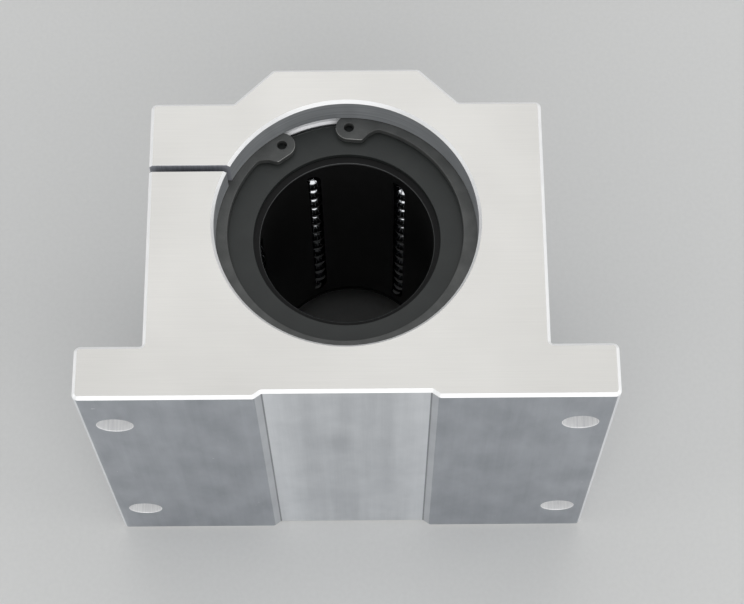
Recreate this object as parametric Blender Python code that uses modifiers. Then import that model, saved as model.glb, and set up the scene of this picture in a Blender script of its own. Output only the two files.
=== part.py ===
"""Linear ball bushing held in an adjustable pillow block housing.

The bore axis runs along +Z, +Z points out of the front end face and the
mounting face looks towards -Y. The origin is the middle of the rear end
face's bounding rectangle. Lengths are in metres.
"""

from math import acos, asin, cos, pi, radians, sin, sqrt

import bmesh
import bpy
from mathutils import Matrix, Vector

MM = 0.001
WELD = 0.001 * MM
GAP = 0.3 * MM

# How far a cutter runs past the face that it opens.
CUT_PAST = 5.0 * MM

# Faces that meet at less than the first angle are shaded as one surface, and
# those at less than the second are flat enough to be one face.
SMOOTH_ANGLE = radians(40)
FLAT_ANGLE = radians(0.1)

# Housing, an extruded aluminium section cut square at both ends.
LENGTH = 127.0 * MM
FLANGE_WIDTH = 152.4 * MM
FLANGE_THICKNESS = 15.875 * MM
BODY_WIDTH = 114.3 * MM
HEIGHT = 103.1875 * MM
SHOULDER_HEIGHT = 92.075 * MM
CROWN_TOP_HALF_WIDTH = 21.45 * MM
CROWN_FOOT_HALF_WIDTH = 32.95 * MM
RELIEF_DEPTH = 1.6 * MM
RELIEF_FLOOR_HALF_WIDTH = 23.65 * MM
RELIEF_MOUTH_HALF_WIDTH = 25.9 * MM
OUTLINE_CHAMFER = 1.1 * MM
END_CHAMFER = 0.85 * MM
AXIS_HEIGHT = 53.975 * MM
AXIS_Y = AXIS_HEIGHT - HEIGHT / 2
MID_Z = LENGTH / 2

# Housing bore, with a retaining ring groove near each end.
SEAT_RADIUS = 38.1 * MM
MOUTH_CHAMFER_RADIAL = 0.75 * MM
MOUTH_CHAMFER_DEPTH = 1.1 * MM
GROOVE_RADIUS = 40.3 * MM
GROOVE_OUTER_DEPTH = 10.0 * MM
GROOVE_INNER_DEPTH = 12.7 * MM
BORE_SEGMENTS = 60

# Mounting holes through the flange.
BOLT_HOLE_RADIUS = 5.2 * MM
BOLT_X = 66.675 * MM
BOLT_SPACING_Z = 82.55 * MM
BOLT_HOLE_SEGMENTS = 20

# Clamp slot in the -X wall, and the socket head screw that closes it.
SLOT_ABOVE_AXIS = 16.75 * MM
SLOT_WIDTH = 1.9 * MM
SCREW_X = -47.0 * MM
SCREW_HEAD_RADIUS = 5.95 * MM
SCREW_HEAD_HEIGHT = 7.94 * MM
SCREW_SHANK_RADIUS = 3.97 * MM
SCREW_SHANK_LENGTH = 22.2 * MM
SCREW_CHAMFER = 0.6 * MM
SOCKET_RADIUS = 3.67 * MM
SOCKET_DEPTH = 4.0 * MM
COUNTERBORE_RADIUS = 6.35 * MM
COUNTERBORE_DEPTH = 9.5 * MM
SCREW_TIP_ROOM = 3.2 * MM
SOCKET_SIDES = 6
SCREW_SEGMENTS = 20

# Retaining rings, one in each groove. Angles run from the middle of the gap.
RING_THICKNESS = 2.2 * MM
RING_OUTER_RADIUS = 40.0 * MM
RING_INNER_RADIUS = 34.0 * MM
RING_INNER_SHIFT = 1.0 * MM
RING_GAP_ANGLE = radians(106)
LUG_HOLE_RADIUS = 1.45 * MM
LUG_HOLE_CENTRE = 35.3 * MM
LUG_HOLE_ANGLE = radians(17.15)
LUG_HOLE_SEGMENTS = 10
LUG_RADIUS = 3.85 * MM
LUG_START_ANGLE = radians(14.6)
LUG_TIP_START = radians(40)
LUG_TIP_STEPS = 4
HEEL_RADIUS = 31.15 * MM
HEEL_ANGLE = radians(24.4)
ROOT_ANGLE = radians(29.5)
HEEL_STEPS = 3
RING_ARC_STEPS = 30

# Bushing envelope.
BUSHING_HALF_LENGTH = 50.8 * MM
BUSHING_RADIUS = 37.8 * MM
CORE_HALF_LENGTH = 47.1 * MM
SLEEVE_INNER_RADIUS = 36.2 * MM
CAGE_OUTER_RADIUS = 35.9 * MM
CAGE_INNER_RADIUS = 25.85 * MM
CAGE_SEGMENTS = 48

# Ball circuits. A circuit is a racetrack in a plane along Z, tilted outwards
# so that the return row runs further from the shaft than the loaded row.
CIRCUITS = 6
FIRST_CIRCUIT_ANGLE = radians(52.5)
SHAFT_RADIUS = 25.4 * MM
BALL_RADIUS = 3.175 * MM
BALLS_IN_ROW = 12
BALLS_IN_TURN = 2
BALL_NECK = 0.8 * MM
ROW_RADIUS = SHAFT_RADIUS + BALL_RADIUS
TURN_RADIUS = 4.565 * MM
TILT = radians(18)
GROUP_GAP = 0.6 * MM
BALL_SIDES = 6
BALL_ARC_STEPS = 4
RETURN_BALL_ARC_STEPS = 3
ROW_HALF_LENGTH = (BALLS_IN_ROW - 1) * BALL_RADIUS
TURN_HALF_ANGLE = asin(BALL_RADIUS / TURN_RADIUS)
TURN_BALL_RISE = TURN_RADIUS * cos(TURN_HALF_ANGLE)
TURN_BALL_SIDE = TURN_RADIUS - BALL_RADIUS
TURN_CENTRE_Z = (
    ROW_HALF_LENGTH
    - TURN_BALL_RISE
    + sqrt((2 * BALL_RADIUS + GROUP_GAP) ** 2 - TURN_BALL_SIDE ** 2)
)
CHANNEL_HALF_WIDTH = BALL_RADIUS + GAP
ISLAND_HALF_WIDTH = TURN_RADIUS - CHANNEL_HALF_WIDTH
ISLAND_TOP = 0.6 * MM
POCKET_TOP = 12.0 * MM
RACETRACK_STEPS = 6

# Hardened plates that carry the loaded rows. They rock on their crowns.
PLATE_HALF_WIDTH = 4.0 * MM
PLATE_HALF_LENGTH = 38.0 * MM
PLATE_CROWN_RADIUS = 37.7 * MM
PLATE_CROWN_DROP = 0.5 * MM
PLATE_CROWN_STEPS = 4
PLATE_FOOT = 31.2 * MM
PLATE_GROOVE_RADIUS = BALL_RADIUS + GAP
PLATE_GROOVE_STEPS = 4

# End rings and the wiper seals behind them.
END_RING_INNER_RADIUS = 27.3 * MM
END_RING_FACE_THICKNESS = 1.7 * MM
END_RING_RIM_RADIUS = 33.3 * MM
END_RING_CHAMFER = 0.6 * MM
SEAL_OUTER_RADIUS = 33.0 * MM
SEAL_THICKNESS = 1.5 * MM
SEAL_LIP_RADIUS = 25.55 * MM
SEAL_LIP_WIDTH = 0.3 * MM
SEAL_LIP_SETBACK = 0.65 * MM
SEAL_NECK_RADIUS = 28.0 * MM
END_SEGMENTS = 36


def clear_scene():
    """Remove every object that the file already holds."""
    for item in list(bpy.data.objects):
        bpy.data.objects.remove(item, do_unlink=True)


def get_collection(name):
    """Return the named collection, linked to the scene."""
    collection = bpy.data.collections.get(name)
    if collection is None:
        collection = bpy.data.collections.new(name)
        bpy.context.scene.collection.children.link(collection)
    return collection


def make_material(name, colour, roughness, metallic):
    """Return a Principled BSDF material."""
    material = bpy.data.materials.new(name)
    material.use_nodes = True
    shader = material.node_tree.nodes["Principled BSDF"]
    shader.inputs["Base Color"].default_value = (*colour, 1.0)
    shader.inputs["Roughness"].default_value = roughness
    shader.inputs["Metallic"].default_value = metallic
    return material


def make_object(name, data, collection, parent=None, location=(0, 0, 0), rotation=(0, 0, 0)):
    """Place data in the collection, in its parent's frame."""
    item = bpy.data.objects.new(name, data)
    item.parent = parent
    item.location = location
    item.rotation_euler = rotation
    collection.objects.link(item)
    return item


def add_part(name, mesh, material, parent=None, location=(0, 0, 0), rotation=(0, 0, 0)):
    """Add one sub-part of the bushing."""
    if not mesh.materials:
        mesh.materials.append(material)
    return make_object(name, mesh, PARTS, parent, location, rotation)


def add_cutter(name, mesh, parent=None, location=(0, 0, 0), rotation=(0, 0, 0)):
    """Add a solid that only cuts others."""
    cutter = make_object(name, mesh, CUTTERS, parent, location, rotation)
    cutter.hide_render = True
    cutter.display_type = "WIRE"
    return cutter


def add_empty(name, parent=None, location=(0, 0, 0), rotation=(0, 0, 0)):
    """Add a reference frame that other pieces hang from."""
    return make_object(name, None, PARTS, parent, location, rotation)


def subtract(solid, cutter):
    """Cut the cutter out of the solid."""
    boolean = solid.modifiers.new(cutter.name, "BOOLEAN")
    boolean.operation = "DIFFERENCE"
    boolean.solver = "EXACT"
    boolean.object = cutter


def evaluated_mesh(helper, name):
    """Turn a helper object into a welded mesh and remove the helper."""
    bpy.context.view_layer.update()
    graph = bpy.context.evaluated_depsgraph_get()
    mesh = bpy.data.meshes.new_from_object(helper.evaluated_get(graph))
    mesh.name = name
    shape = bmesh.new()
    shape.from_mesh(mesh)
    bmesh.ops.remove_doubles(shape, verts=shape.verts, dist=WELD)
    shape.to_mesh(mesh)
    shape.free()
    bpy.data.objects.remove(helper, do_unlink=True)
    return mesh


def shade_round(mesh):
    """Shade smooth, with creases where faces meet at more than SMOOTH_ANGLE."""
    mesh.shade_smooth()
    mesh.set_sharp_from_angle(angle=SMOOTH_ANGLE)
    return mesh


def turned_mesh(name, profile, segments, closed=False):
    """Turn a profile of (radius, z) points, listed down its outer side."""
    points = [(radius, 0, z) for radius, z in profile]
    edges = [(i, i + 1) for i in range(len(points) - 1)]
    if closed:
        edges.append((len(points) - 1, 0))
    line = bpy.data.meshes.new(name + "_profile")
    line.from_pydata(points, edges, [])
    helper = make_object(name + "_helper", line, CUTTERS)
    screw = helper.modifiers.new("turn", "SCREW")
    screw.axis = "Z"
    screw.steps = segments
    screw.render_steps = segments
    screw.use_merge_vertices = True
    screw.merge_threshold = WELD
    return shade_round(evaluated_mesh(helper, name))


def prism_mesh(name, outlines, thickness):
    """Extrude closed outlines along Z, centred on their own plane."""
    curve = bpy.data.curves.new(name + "_outline", "CURVE")
    curve.dimensions = "2D"
    curve.fill_mode = "BOTH"
    curve.extrude = thickness / 2
    for outline in outlines:
        spline = curve.splines.new("POLY")
        spline.points.add(len(outline) - 1)
        for point, (x, y) in zip(spline.points, outline):
            point.co = (x, y, 0, 1)
        spline.use_cyclic_u = True
    helper = make_object(name + "_helper", curve, CUTTERS)
    return evaluated_mesh(helper, name)


def box_mesh(name, size):
    """A box centred on its origin."""
    mesh = bpy.data.meshes.new(name)
    shape = bmesh.new()
    bmesh.ops.create_cube(shape, size=1.0)
    bmesh.ops.scale(shape, vec=size, verts=shape.verts)
    shape.to_mesh(mesh)
    shape.free()
    return mesh


def cylinder_mesh(name, radius, length, segments):
    """A cylinder along Z, centred on its origin."""
    mesh = bpy.data.meshes.new(name)
    shape = bmesh.new()
    bmesh.ops.create_cone(
        shape, cap_ends=True, segments=segments, radius1=radius, radius2=radius, depth=length
    )
    shape.to_mesh(mesh)
    shape.free()
    return mesh


def arc(centre, radius, start, end, steps):
    """Points on an arc, both ends included."""
    turn = (end - start) / steps
    angles = [start + i * turn for i in range(steps + 1)]
    return [(centre[0] + radius * cos(a), centre[1] + radius * sin(a)) for a in angles]


def circle(centre, radius, segments):
    """Points round a whole circle."""
    return arc(centre, radius, 0, 2 * pi, segments)[:-1]


def chamfered(points, size):
    """Cut each convex corner of an anticlockwise outline back by size."""
    result = []
    for i, corner in enumerate(points):
        here = Vector(corner)
        back = (Vector(points[i - 1]) - here).normalized()
        ahead = (Vector(points[(i + 1) % len(points)]) - here).normalized()
        if ahead.cross(back) > 0:
            result += [tuple(here + back * size), tuple(here + ahead * size)]
        else:
            result.append(corner)
    return result


def housing_outline():
    """The extruded section, anticlockwise from the relief channel."""
    foot = -HEIGHT / 2
    right = [
        (RELIEF_FLOOR_HALF_WIDTH, foot + RELIEF_DEPTH),
        (RELIEF_MOUTH_HALF_WIDTH, foot),
        (FLANGE_WIDTH / 2, foot),
        (FLANGE_WIDTH / 2, foot + FLANGE_THICKNESS),
        (BODY_WIDTH / 2, foot + FLANGE_THICKNESS),
        (BODY_WIDTH / 2, foot + SHOULDER_HEIGHT),
        (CROWN_FOOT_HALF_WIDTH, foot + SHOULDER_HEIGHT),
        (CROWN_TOP_HALF_WIDTH, HEIGHT / 2),
    ]
    left = [(-x, y) for x, y in reversed(right)]
    return chamfered(right + left, OUTLINE_CHAMFER)


def chamfer_ends(mesh, half_length, size):
    """Chamfer the edges of a prism's two end faces."""
    shape = bmesh.new()
    shape.from_mesh(mesh)
    bmesh.ops.dissolve_limit(
        shape, angle_limit=FLAT_ANGLE, verts=shape.verts, edges=shape.edges
    )
    rims = [
        edge
        for edge in shape.edges
        if all(abs(abs(vert.co.z) - half_length) < WELD for vert in edge.verts)
    ]
    bmesh.ops.bevel(shape, geom=rims, offset=size, segments=1, affect="EDGES")
    shape.to_mesh(mesh)
    shape.free()


def bore_profile():
    """The housing bore's half-profile, front to rear, centred on mid-length."""
    face = LENGTH / 2
    mouth = SEAT_RADIUS + 2 * MOUTH_CHAMFER_RADIAL
    front = [
        (0, face + MOUTH_CHAMFER_DEPTH),
        (mouth, face + MOUTH_CHAMFER_DEPTH),
        (SEAT_RADIUS, face - MOUTH_CHAMFER_DEPTH),
        (SEAT_RADIUS, face - GROOVE_OUTER_DEPTH),
        (GROOVE_RADIUS, face - GROOVE_OUTER_DEPTH),
        (GROOVE_RADIUS, face - GROOVE_INNER_DEPTH),
        (SEAT_RADIUS, face - GROOVE_INNER_DEPTH),
    ]
    rear = [(radius, -z) for radius, z in reversed(front)]
    return front + rear


def add_housing(aluminium):
    """The one-piece housing with every hole and slot that is cut in it."""
    mesh = prism_mesh("housing", [housing_outline()], LENGTH)
    chamfer_ends(mesh, LENGTH / 2, END_CHAMFER)
    housing = add_part("housing", mesh, aluminium, location=(0, 0, MID_Z))

    bore = turned_mesh("bore_cutter", bore_profile(), BORE_SEGMENTS)
    subtract(housing, add_cutter("bore_cutter", bore, BUSHING_AXIS))

    hole = cylinder_mesh(
        "bolt_hole_cutter",
        BOLT_HOLE_RADIUS,
        2 * (FLANGE_THICKNESS + CUT_PAST),
        BOLT_HOLE_SEGMENTS,
    )
    for side in (-1, 1):
        for end in (-1, 1):
            place = (side * BOLT_X, -HEIGHT / 2, MID_Z + end * BOLT_SPACING_Z / 2)
            cutter = add_cutter("bolt_hole_cutter", hole, None, place, (pi / 2, 0, 0))
            subtract(housing, cutter)

    slot_length = BODY_WIDTH / 2 + CUT_PAST
    slot = box_mesh("slot_cutter", (slot_length, SLOT_WIDTH, LENGTH + 2 * CUT_PAST))
    slot_place = (-slot_length / 2, SLOT_ABOVE_AXIS, 0)
    subtract(housing, add_cutter("slot_cutter", slot, BUSHING_AXIS, slot_place))

    subtract(housing, add_cutter("screw_hole_cutter", screw_hole_mesh(), SCREW_AXIS))
    return housing


def screw_hole_mesh():
    """The counterbored hole; z = 0 is the counterbore's floor."""
    clearance = SCREW_SHANK_RADIUS + GAP
    top = COUNTERBORE_DEPTH + CUT_PAST
    bottom = -SCREW_SHANK_LENGTH - SCREW_TIP_ROOM
    profile = [
        (0, top),
        (COUNTERBORE_RADIUS, top),
        (COUNTERBORE_RADIUS, 0),
        (clearance, 0),
        (clearance, bottom),
        (0, bottom),
    ]
    return turned_mesh("screw_hole_cutter", profile, SCREW_SEGMENTS)


def add_adjusting_screw(steel):
    """The socket head screw that draws the clamp slot together."""
    head_top = GAP + SCREW_HEAD_HEIGHT
    profile = [
        (0, head_top),
        (SCREW_HEAD_RADIUS - SCREW_CHAMFER, head_top),
        (SCREW_HEAD_RADIUS, head_top - SCREW_CHAMFER),
        (SCREW_HEAD_RADIUS, GAP),
        (SCREW_SHANK_RADIUS, GAP),
        (SCREW_SHANK_RADIUS, SCREW_CHAMFER - SCREW_SHANK_LENGTH),
        (SCREW_SHANK_RADIUS - SCREW_CHAMFER, -SCREW_SHANK_LENGTH),
        (0, -SCREW_SHANK_LENGTH),
    ]
    mesh = turned_mesh("adjusting_screw", profile, SCREW_SEGMENTS)
    screw = add_part("adjusting_screw", mesh, steel, SCREW_AXIS)
    socket = cylinder_mesh("socket_cutter", SOCKET_RADIUS, 2 * SOCKET_DEPTH, SOCKET_SIDES)
    subtract(screw, add_cutter("socket_cutter", socket, SCREW_AXIS, (0, 0, head_top)))


def ring_point(radius, offset, side):
    """A point of the retaining ring, by its angle from the gap's middle."""
    angle = RING_GAP_ANGLE + side * offset
    return (radius * cos(angle), radius * sin(angle))


def ring_inner_edge(offset):
    """The inner edge's radius: a circle shifted towards the gap."""
    across = RING_INNER_SHIFT * sin(offset)
    return RING_INNER_SHIFT * cos(offset) + sqrt(RING_INNER_RADIUS ** 2 - across ** 2)


def lug_outline(side):
    """One lug, from the outer edge round its tip and heel to the inner edge."""
    centre = Vector(ring_point(LUG_HOLE_CENTRE, LUG_HOLE_ANGLE, side))
    outward = centre.normalized()
    to_gap = Vector((outward.y, -outward.x)) * side
    points = [ring_point(RING_OUTER_RADIUS, LUG_START_ANGLE, side)]
    for step in range(LUG_TIP_STEPS + 1):
        turn = LUG_TIP_START + (pi - LUG_TIP_START) * step / LUG_TIP_STEPS
        direction = outward * cos(turn) + to_gap * sin(turn)
        points.append(tuple(centre + LUG_RADIUS * direction))
    heel_depth = ring_inner_edge(ROOT_ANGLE) - HEEL_RADIUS
    for step in range(HEEL_STEPS + 1):
        share = step / HEEL_STEPS
        offset = HEEL_ANGLE + (ROOT_ANGLE - HEEL_ANGLE) * share
        rise = heel_depth * sin(share * pi / 2)
        points.append(ring_point(HEEL_RADIUS + rise, offset, side))
    return points


def ring_outline():
    """The whole ring, round its outer edge and back along its inner edge."""
    outer_turn = 2 * (pi - LUG_START_ANGLE) / RING_ARC_STEPS
    inner_turn = 2 * (pi - ROOT_ANGLE) / RING_ARC_STEPS
    outer = [
        ring_point(RING_OUTER_RADIUS, LUG_START_ANGLE + i * outer_turn, 1)
        for i in range(1, RING_ARC_STEPS)
    ]
    offsets = [ROOT_ANGLE + i * inner_turn for i in range(1, RING_ARC_STEPS)]
    inner = [ring_point(ring_inner_edge(a), a, -1) for a in offsets]
    return outer + lug_outline(-1) + inner + list(reversed(lug_outline(1)))


def add_retaining_rings(steel):
    """A lugged internal retaining ring in each groove of the bore."""
    outlines = [ring_outline()]
    for side in (-1, 1):
        centre = ring_point(LUG_HOLE_CENTRE, LUG_HOLE_ANGLE, side)
        outlines.append(circle(centre, LUG_HOLE_RADIUS, LUG_HOLE_SEGMENTS))
    mesh = prism_mesh("retaining_ring", outlines, RING_THICKNESS)
    depth = (GROOVE_OUTER_DEPTH + GROOVE_INNER_DEPTH) / 2
    place = LENGTH / 2 - depth
    add_part("front_retaining_ring", mesh, steel, BUSHING_AXIS, (0, 0, place))
    add_part("rear_retaining_ring", mesh, steel, BUSHING_AXIS, (0, 0, -place), (0, pi, 0))


def add_outer_sleeve(polymer, circuits):
    """The sleeve that closes the ball pockets, with a window for each plate."""
    profile = [
        (BUSHING_RADIUS, CORE_HALF_LENGTH),
        (BUSHING_RADIUS, -CORE_HALF_LENGTH),
        (SLEEVE_INNER_RADIUS, -CORE_HALF_LENGTH),
        (SLEEVE_INNER_RADIUS, CORE_HALF_LENGTH),
    ]
    mesh = turned_mesh("outer_sleeve", profile, CAGE_SEGMENTS, closed=True)
    sleeve = add_part("outer_sleeve", mesh, polymer, BUSHING_AXIS)
    depth = BUSHING_RADIUS - SLEEVE_INNER_RADIUS
    width = 2 * (PLATE_HALF_WIDTH + GAP)
    length = 2 * (PLATE_HALF_LENGTH + GAP)
    window = box_mesh("window_cutter", (depth + CUT_PAST, width, length))
    middle = (BUSHING_RADIUS + SLEEVE_INNER_RADIUS) / 2
    for circuit in circuits:
        subtract(sleeve, add_cutter("window_cutter", window, circuit, (middle, 0, 0)))


def racetrack(half_width):
    """A stadium outline round the circuit's middle, x across and y along Z."""
    top = arc((0, TURN_CENTRE_Z), half_width, 0, pi, RACETRACK_STEPS)
    bottom = arc((0, -TURN_CENTRE_Z), half_width, pi, 2 * pi, RACETRACK_STEPS)
    return top + bottom


def pocket_mesh():
    """The racetrack pocket for one circuit's balls, round a low island."""
    floor = -CHANNEL_HALF_WIDTH
    depth = POCKET_TOP - floor
    outline = racetrack(TURN_RADIUS + CHANNEL_HALF_WIDTH)
    pocket = add_cutter("pocket_helper", prism_mesh("pocket", [outline], depth))
    pocket.location.z = (POCKET_TOP + floor) / 2
    island_mesh = prism_mesh("island", [racetrack(ISLAND_HALF_WIDTH)], depth)
    island = add_cutter("island_cutter", island_mesh)
    island.location.z = ISLAND_TOP - depth / 2
    subtract(pocket, island)
    mesh = evaluated_mesh(pocket, "ball_pocket")
    mesh.transform(Matrix.Translation((0, 0, (POCKET_TOP + floor) / 2)))
    bpy.data.objects.remove(island, do_unlink=True)
    return mesh


def add_ball_cage(polymer, circuits):
    """The cage: six racetrack pockets, each open to the shaft along one side."""
    profile = [
        (CAGE_OUTER_RADIUS, CORE_HALF_LENGTH),
        (CAGE_OUTER_RADIUS, -CORE_HALF_LENGTH),
        (CAGE_INNER_RADIUS, -CORE_HALF_LENGTH),
        (CAGE_INNER_RADIUS, CORE_HALF_LENGTH),
    ]
    mesh = turned_mesh("ball_cage", profile, CAGE_SEGMENTS, closed=True)
    cage = add_part("ball_cage", mesh, polymer, BUSHING_AXIS)
    pocket = pocket_mesh()
    for circuit in circuits:
        place, rotation = circuit_plane(0)
        subtract(cage, add_cutter("pocket_cutter", pocket, circuit, place, rotation))


def circuit_plane(along):
    """Place and rotation, in a circuit's frame, of a point on its middle line.

    The rotated frame has x across the racetrack, y along the bore and z out
    of the racetrack's plane, which is the axis that the turning balls use.
    """
    across = Vector((sin(TILT), cos(TILT), 0))
    outward = Vector((cos(TILT), -sin(TILT), 0))
    place = Vector((ROW_RADIUS, 0, along)) + across * TURN_RADIUS
    axes = Matrix((across, Vector((0, 0, 1)), outward)).transposed()
    return place, axes.to_euler()


def plate_mesh():
    """A crowned bar with a ball groove under it, its crown at the origin."""
    crown_angle = asin(PLATE_HALF_WIDTH / PLATE_CROWN_RADIUS)
    crown_centre = (-PLATE_CROWN_RADIUS, 0)
    crown = arc(crown_centre, PLATE_CROWN_RADIUS, -crown_angle, crown_angle, PLATE_CROWN_STEPS)
    foot = PLATE_FOOT - PLATE_CROWN_RADIUS
    groove_angle = acos((PLATE_FOOT - ROW_RADIUS) / PLATE_GROOVE_RADIUS)
    groove_centre = (ROW_RADIUS - PLATE_CROWN_RADIUS, 0)
    groove = arc(
        groove_centre, PLATE_GROOVE_RADIUS, groove_angle, -groove_angle, PLATE_GROOVE_STEPS
    )
    outline = crown + [(foot, PLATE_HALF_WIDTH)] + groove + [(foot, -PLATE_HALF_WIDTH)]
    mesh = prism_mesh("bearing_plate", [outline], 2 * PLATE_HALF_LENGTH)
    shape = bmesh.new()
    shape.from_mesh(mesh)
    everything = shape.verts[:] + shape.edges[:] + shape.faces[:]
    bmesh.ops.bisect_plane(
        shape, geom=everything, dist=WELD, plane_co=(0, 0, 0), plane_no=(0, 0, 1)
    )
    for vert in shape.verts:
        if abs(vert.co.z) > PLATE_HALF_LENGTH / 2 and vert.co.x > foot / 2:
            vert.co.x -= PLATE_CROWN_DROP
    shape.to_mesh(mesh)
    shape.free()
    return mesh


def ball_chain_mesh(name, count, pitch, steps):
    """Balls in a line along Z, joined where they touch by short necks."""
    half = (count - 1) * pitch / 2
    neck_angle = asin(BALL_NECK / BALL_RADIUS)
    profile = []
    for i in range(count):
        middle = half - i * pitch
        first = 0 if i == 0 else neck_angle
        last = pi if i == count - 1 else pi - neck_angle
        for step in range(steps + 1):
            angle = step * pi / steps
            angle = min(max(angle, first), last)
            point = (BALL_RADIUS * sin(angle), middle + BALL_RADIUS * cos(angle))
            if step == 0 and i > 0:
                continue
            if step == steps and i < count - 1:
                point = (BALL_NECK, middle - pitch / 2)
            profile.append(point)
    profile[0] = (0, profile[0][1])
    profile[-1] = (0, profile[-1][1])
    return turned_mesh(name, profile, BALL_SIDES)


def add_circuit_pieces(circuits, plate_steel, ball_steel):
    """The plate, the two rows and the two turns of balls of each circuit."""
    plate = plate_mesh()
    pitch = 2 * BALL_RADIUS
    loaded = ball_chain_mesh("loaded_ball_row", BALLS_IN_ROW, pitch, BALL_ARC_STEPS)
    returning = ball_chain_mesh("return_ball_row", BALLS_IN_ROW, pitch, RETURN_BALL_ARC_STEPS)
    turning = ball_chain_mesh("turn_balls", BALLS_IN_TURN, pitch, BALL_ARC_STEPS)
    crown_place = (PLATE_CROWN_RADIUS, 0, 0)
    row_place = Vector((ROW_RADIUS, 0, 0))
    return_place = row_place + Vector((sin(TILT), cos(TILT), 0)) * 2 * TURN_RADIUS
    for number, circuit in enumerate(circuits, start=1):
        add_part(f"bearing_plate_{number}", plate, plate_steel, circuit, crown_place)
        add_part(f"loaded_ball_row_{number}", loaded, ball_steel, circuit, row_place)
        add_part(f"return_ball_row_{number}", returning, ball_steel, circuit, return_place)
        for label, end in (("front", 1), ("rear", -1)):
            place, rotation = circuit_plane(end * TURN_CENTRE_Z)
            pivot = add_empty(f"{label}_turn_pivot_{number}", circuit, place, rotation)
            rise = (0, end * TURN_BALL_RISE, 0)
            name = f"{label}_turn_balls_{number}"
            add_part(name, turning, ball_steel, pivot, rise, (0, pi / 2, 0))


def add_end_rings(polymer):
    """The dished ring that closes each end of the bushing."""
    face = BUSHING_HALF_LENGTH
    back = CORE_HALF_LENGTH + GAP
    shelf = face - END_RING_FACE_THICKNESS
    profile = [
        (BUSHING_RADIUS - END_RING_CHAMFER, face),
        (BUSHING_RADIUS, face - END_RING_CHAMFER),
        (BUSHING_RADIUS, back),
        (END_RING_RIM_RADIUS, back),
        (END_RING_RIM_RADIUS, shelf),
        (END_RING_INNER_RADIUS, shelf),
        (END_RING_INNER_RADIUS, face),
    ]
    mesh = turned_mesh("end_ring", profile, END_SEGMENTS, closed=True)
    add_part("front_end_ring", mesh, polymer, BUSHING_AXIS)
    add_part("rear_end_ring", mesh, polymer, BUSHING_AXIS, rotation=(pi, 0, 0))


def add_seals(rubber):
    """The wiper seal behind each end ring, its lip just clear of the shaft."""
    back = CORE_HALF_LENGTH + GAP
    front = back + SEAL_THICKNESS
    lip = front - SEAL_LIP_SETBACK
    profile = [
        (SEAL_OUTER_RADIUS, front),
        (SEAL_OUTER_RADIUS, back),
        (SEAL_NECK_RADIUS, back),
        (SEAL_LIP_RADIUS, lip - SEAL_LIP_WIDTH),
        (SEAL_LIP_RADIUS, lip),
        (END_RING_INNER_RADIUS, front),
    ]
    mesh = turned_mesh("seal", profile, END_SEGMENTS, closed=True)
    add_part("front_seal", mesh, rubber, BUSHING_AXIS)
    add_part("rear_seal", mesh, rubber, BUSHING_AXIS, rotation=(pi, 0, 0))


def add_circuit_frames():
    """One frame for each circuit: x out through its loaded row, z along the bore."""
    frames = []
    for i in range(CIRCUITS):
        angle = FIRST_CIRCUIT_ANGLE + i * 2 * pi / CIRCUITS
        frames.append(add_empty(f"circuit_{i + 1}", BUSHING_AXIS, rotation=(0, 0, angle)))
    return frames


# The collections, and the two frames that the pieces hang from.
clear_scene()
PARTS = get_collection("linear_ball_bushing")
CUTTERS = get_collection("cutters")
BUSHING_AXIS = add_empty("bushing_axis", location=(0, AXIS_Y, MID_Z))
SCREW_AXIS = add_empty(
    "screw_axis",
    location=(SCREW_X, SHOULDER_HEIGHT - HEIGHT / 2 - COUNTERBORE_DEPTH, MID_Z),
    rotation=(-pi / 2, 0, 0),
)


def build():
    """Build every sub-part."""
    aluminium = make_material("milled_aluminium", (0.72, 0.72, 0.70), 0.42, 1.0)
    black_steel = make_material("black_oxide_steel", (0.05, 0.05, 0.055), 0.45, 0.9)
    ring_steel = make_material("phosphated_spring_steel", (0.10, 0.10, 0.10), 0.5, 0.8)
    plate_steel = make_material("ground_bearing_steel", (0.55, 0.56, 0.58), 0.25, 1.0)
    ball_steel = make_material("polished_ball_steel", (0.75, 0.76, 0.78), 0.06, 1.0)
    sleeve_polymer = make_material("sleeve_polymer", (0.03, 0.03, 0.03), 0.5, 0.0)
    cage_polymer = make_material("cage_polymer", (0.015, 0.015, 0.015), 0.4, 0.0)
    end_polymer = make_material("end_ring_polymer", (0.05, 0.055, 0.05), 0.55, 0.0)
    rubber = make_material("seal_rubber", (0.02, 0.02, 0.02), 0.6, 0.0)

    circuits = add_circuit_frames()
    add_housing(aluminium)
    add_adjusting_screw(black_steel)
    add_retaining_rings(ring_steel)
    add_outer_sleeve(sleeve_polymer, circuits)
    add_ball_cage(cage_polymer, circuits)
    add_circuit_pieces(circuits, plate_steel, ball_steel)
    add_end_rings(end_polymer)
    add_seals(rubber)


build()
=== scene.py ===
"""The looks of a linear ball bushing in its pillow block housing."""

from math import acos, asin, atan2, cos, pi, radians, sin, sqrt, tan

import bmesh
import bpy
from mathutils import Matrix, Vector


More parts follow.
